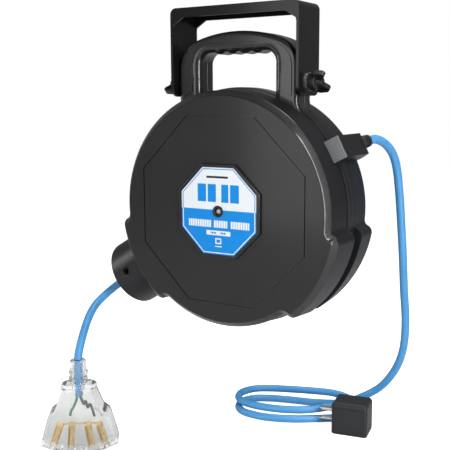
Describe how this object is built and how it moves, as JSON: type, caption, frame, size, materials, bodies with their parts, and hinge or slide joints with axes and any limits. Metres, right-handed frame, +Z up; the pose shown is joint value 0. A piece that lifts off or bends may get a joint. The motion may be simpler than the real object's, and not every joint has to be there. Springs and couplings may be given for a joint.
{
  "type": "extension cord reel",
  "caption": "Retractable extension cord reel in a round case with a handle, hung on a swivelling U bracket, with a multi-way outlet on the reeled cord and a plug on its supply lead.",
  "frame": {"origin": "centre of the bracket's top face, in the plane that meets the ceiling", "axes": "+X to the right seen from the labelled face, +Y to the back, +Z up to the ceiling"},
  "size_m": [0.348, 0.3194, 0.4916],
  "materials": {
    "steel_black": "satin powder coat",
    "zinc_steel": "zinc plated",
    "brass": "plain",
    "rubber_black": "matt",
    "knob_black": "fine grain",
    "case_black": "fine grain",
    "label_print": "printed film",
    "bright_steel": "turned",
    "spool_plastic": "moulded",
    "bush_plastic": "moulded",
    "spring_steel": "blued",
    "cream_plastic": "moulded",
    "cord_blue": "satin vinyl",
    "carbon": "graphite",
    "wire_white": "insulation",
    "roller_plastic": "moulded",
    "stop_black": "satin",
    "clear_plastic": "clear moulded",
    "cap_grey": "fine grain",
    "plug_black": "matt",
    "nickel": "nickel plated"
  },
  "bodies": {
    "bracket": {"bracket": "steel_black", "knob_washers": "zinc_steel"},
    "housing": {"pivot_inserts": "brass", "friction_pads": "rubber_black", "front_shell": "case_black", "rear_shell": "case_black", "medallion": "case_black", "label": "label_print", "axle_cap": "knob_black", "axle_screws": "zinc_steel", "case_screws": "zinc_steel", "axle": "bright_steel", "spring_arbor": "bright_steel", "brush_holder": "cream_plastic", "brushes": "carbon", "brush_springs": "spring_steel", "inner_wires": "wire_white", "cord_run": "cord_blue", "pawl_pin": "bright_steel", "pawl_spring": "spring_steel", "outlet_frame": "spool_plastic", "roller_pins": "bright_steel", "outlet_grommet": "rubber_black", "stop_front_half": "stop_black", "stop_rear_half": "stop_black", "stop_screws": "zinc_steel", "reel_cord": "cord_blue", "tap_body": "clear_plastic", "tap_contacts": "brass", "tap_wires": "wire_white", "tap_jacket": "cord_blue", "inlet_box": "case_black", "inlet_cap": "cap_grey", "strain_relief": "rubber_black", "lead_entry": "cord_blue", "lead_drop": "cord_blue", "lead_hank": "cord_blue", "lead_tail": "cord_blue", "plug_body": "plug_black", "plug_prongs": "nickel"},
    "spool": {"spool_hub": "spool_plastic", "front_flange": "spool_plastic", "rear_flange": "spool_plastic", "front_bush": "bush_plastic", "rear_bush": "bush_plastic", "spring_cover": "zinc_steel", "mainspring": "spring_steel", "slip_ring_disc": "cream_plastic", "slip_rings": "brass", "ratchet_wheel": "bright_steel", "spool_screws": "zinc_steel", "wound_cord": "cord_blue"},
    "left_knob": {"left_knob": "knob_black", "left_stud": "zinc_steel"},
    "right_knob": {"right_knob": "knob_black", "right_stud": "zinc_steel"},
    "pawl": {"pawl": "bright_steel"},
    "upper_roller": {"upper_roller": "roller_plastic"},
    "lower_roller": {"lower_roller": "roller_plastic"}
  },
  "joints": [
    {"name": "reel_swing", "type": "hinge", "parent": "bracket", "child": "housing", "pos_m": [0, 0, -0.079], "axis": [1, 0, 0], "range_deg": [-90, 90]},
    {"name": "left_knob_turn", "type": "hinge", "parent": "housing", "child": "left_knob", "pos_m": [0, 0, -0.079], "axis": [1, 0, 0], "continuous": true},
    {"name": "right_knob_turn", "type": "hinge", "parent": "housing", "child": "right_knob", "pos_m": [0, 0, -0.079], "axis": [1, 0, 0], "continuous": true},
    {"name": "spool_spin", "type": "hinge", "parent": "housing", "child": "spool", "pos_m": [0, 0, -0.21], "axis": [0, 1, 0], "continuous": true},
    {"name": "pawl_swing", "type": "hinge", "parent": "housing", "child": "pawl", "pos_m": [0.046, 0.028, -0.178], "axis": [0, -1, 0], "range_deg": [0, 12], "stiffness_Nm_per_rad": 0.02, "springref_deg": -11.46},
    {"name": "upper_roller_spin", "type": "hinge", "parent": "housing", "child": "upper_roller", "pos_m": [-0.1077, 0, -0.25707], "axis": [0, 1, 0], "continuous": true},
    {"name": "lower_roller_spin", "type": "hinge", "parent": "housing", "child": "lower_roller", "pos_m": [-0.09648, 0, -0.27359], "axis": [0, 1, 0], "continuous": true}
  ]
}
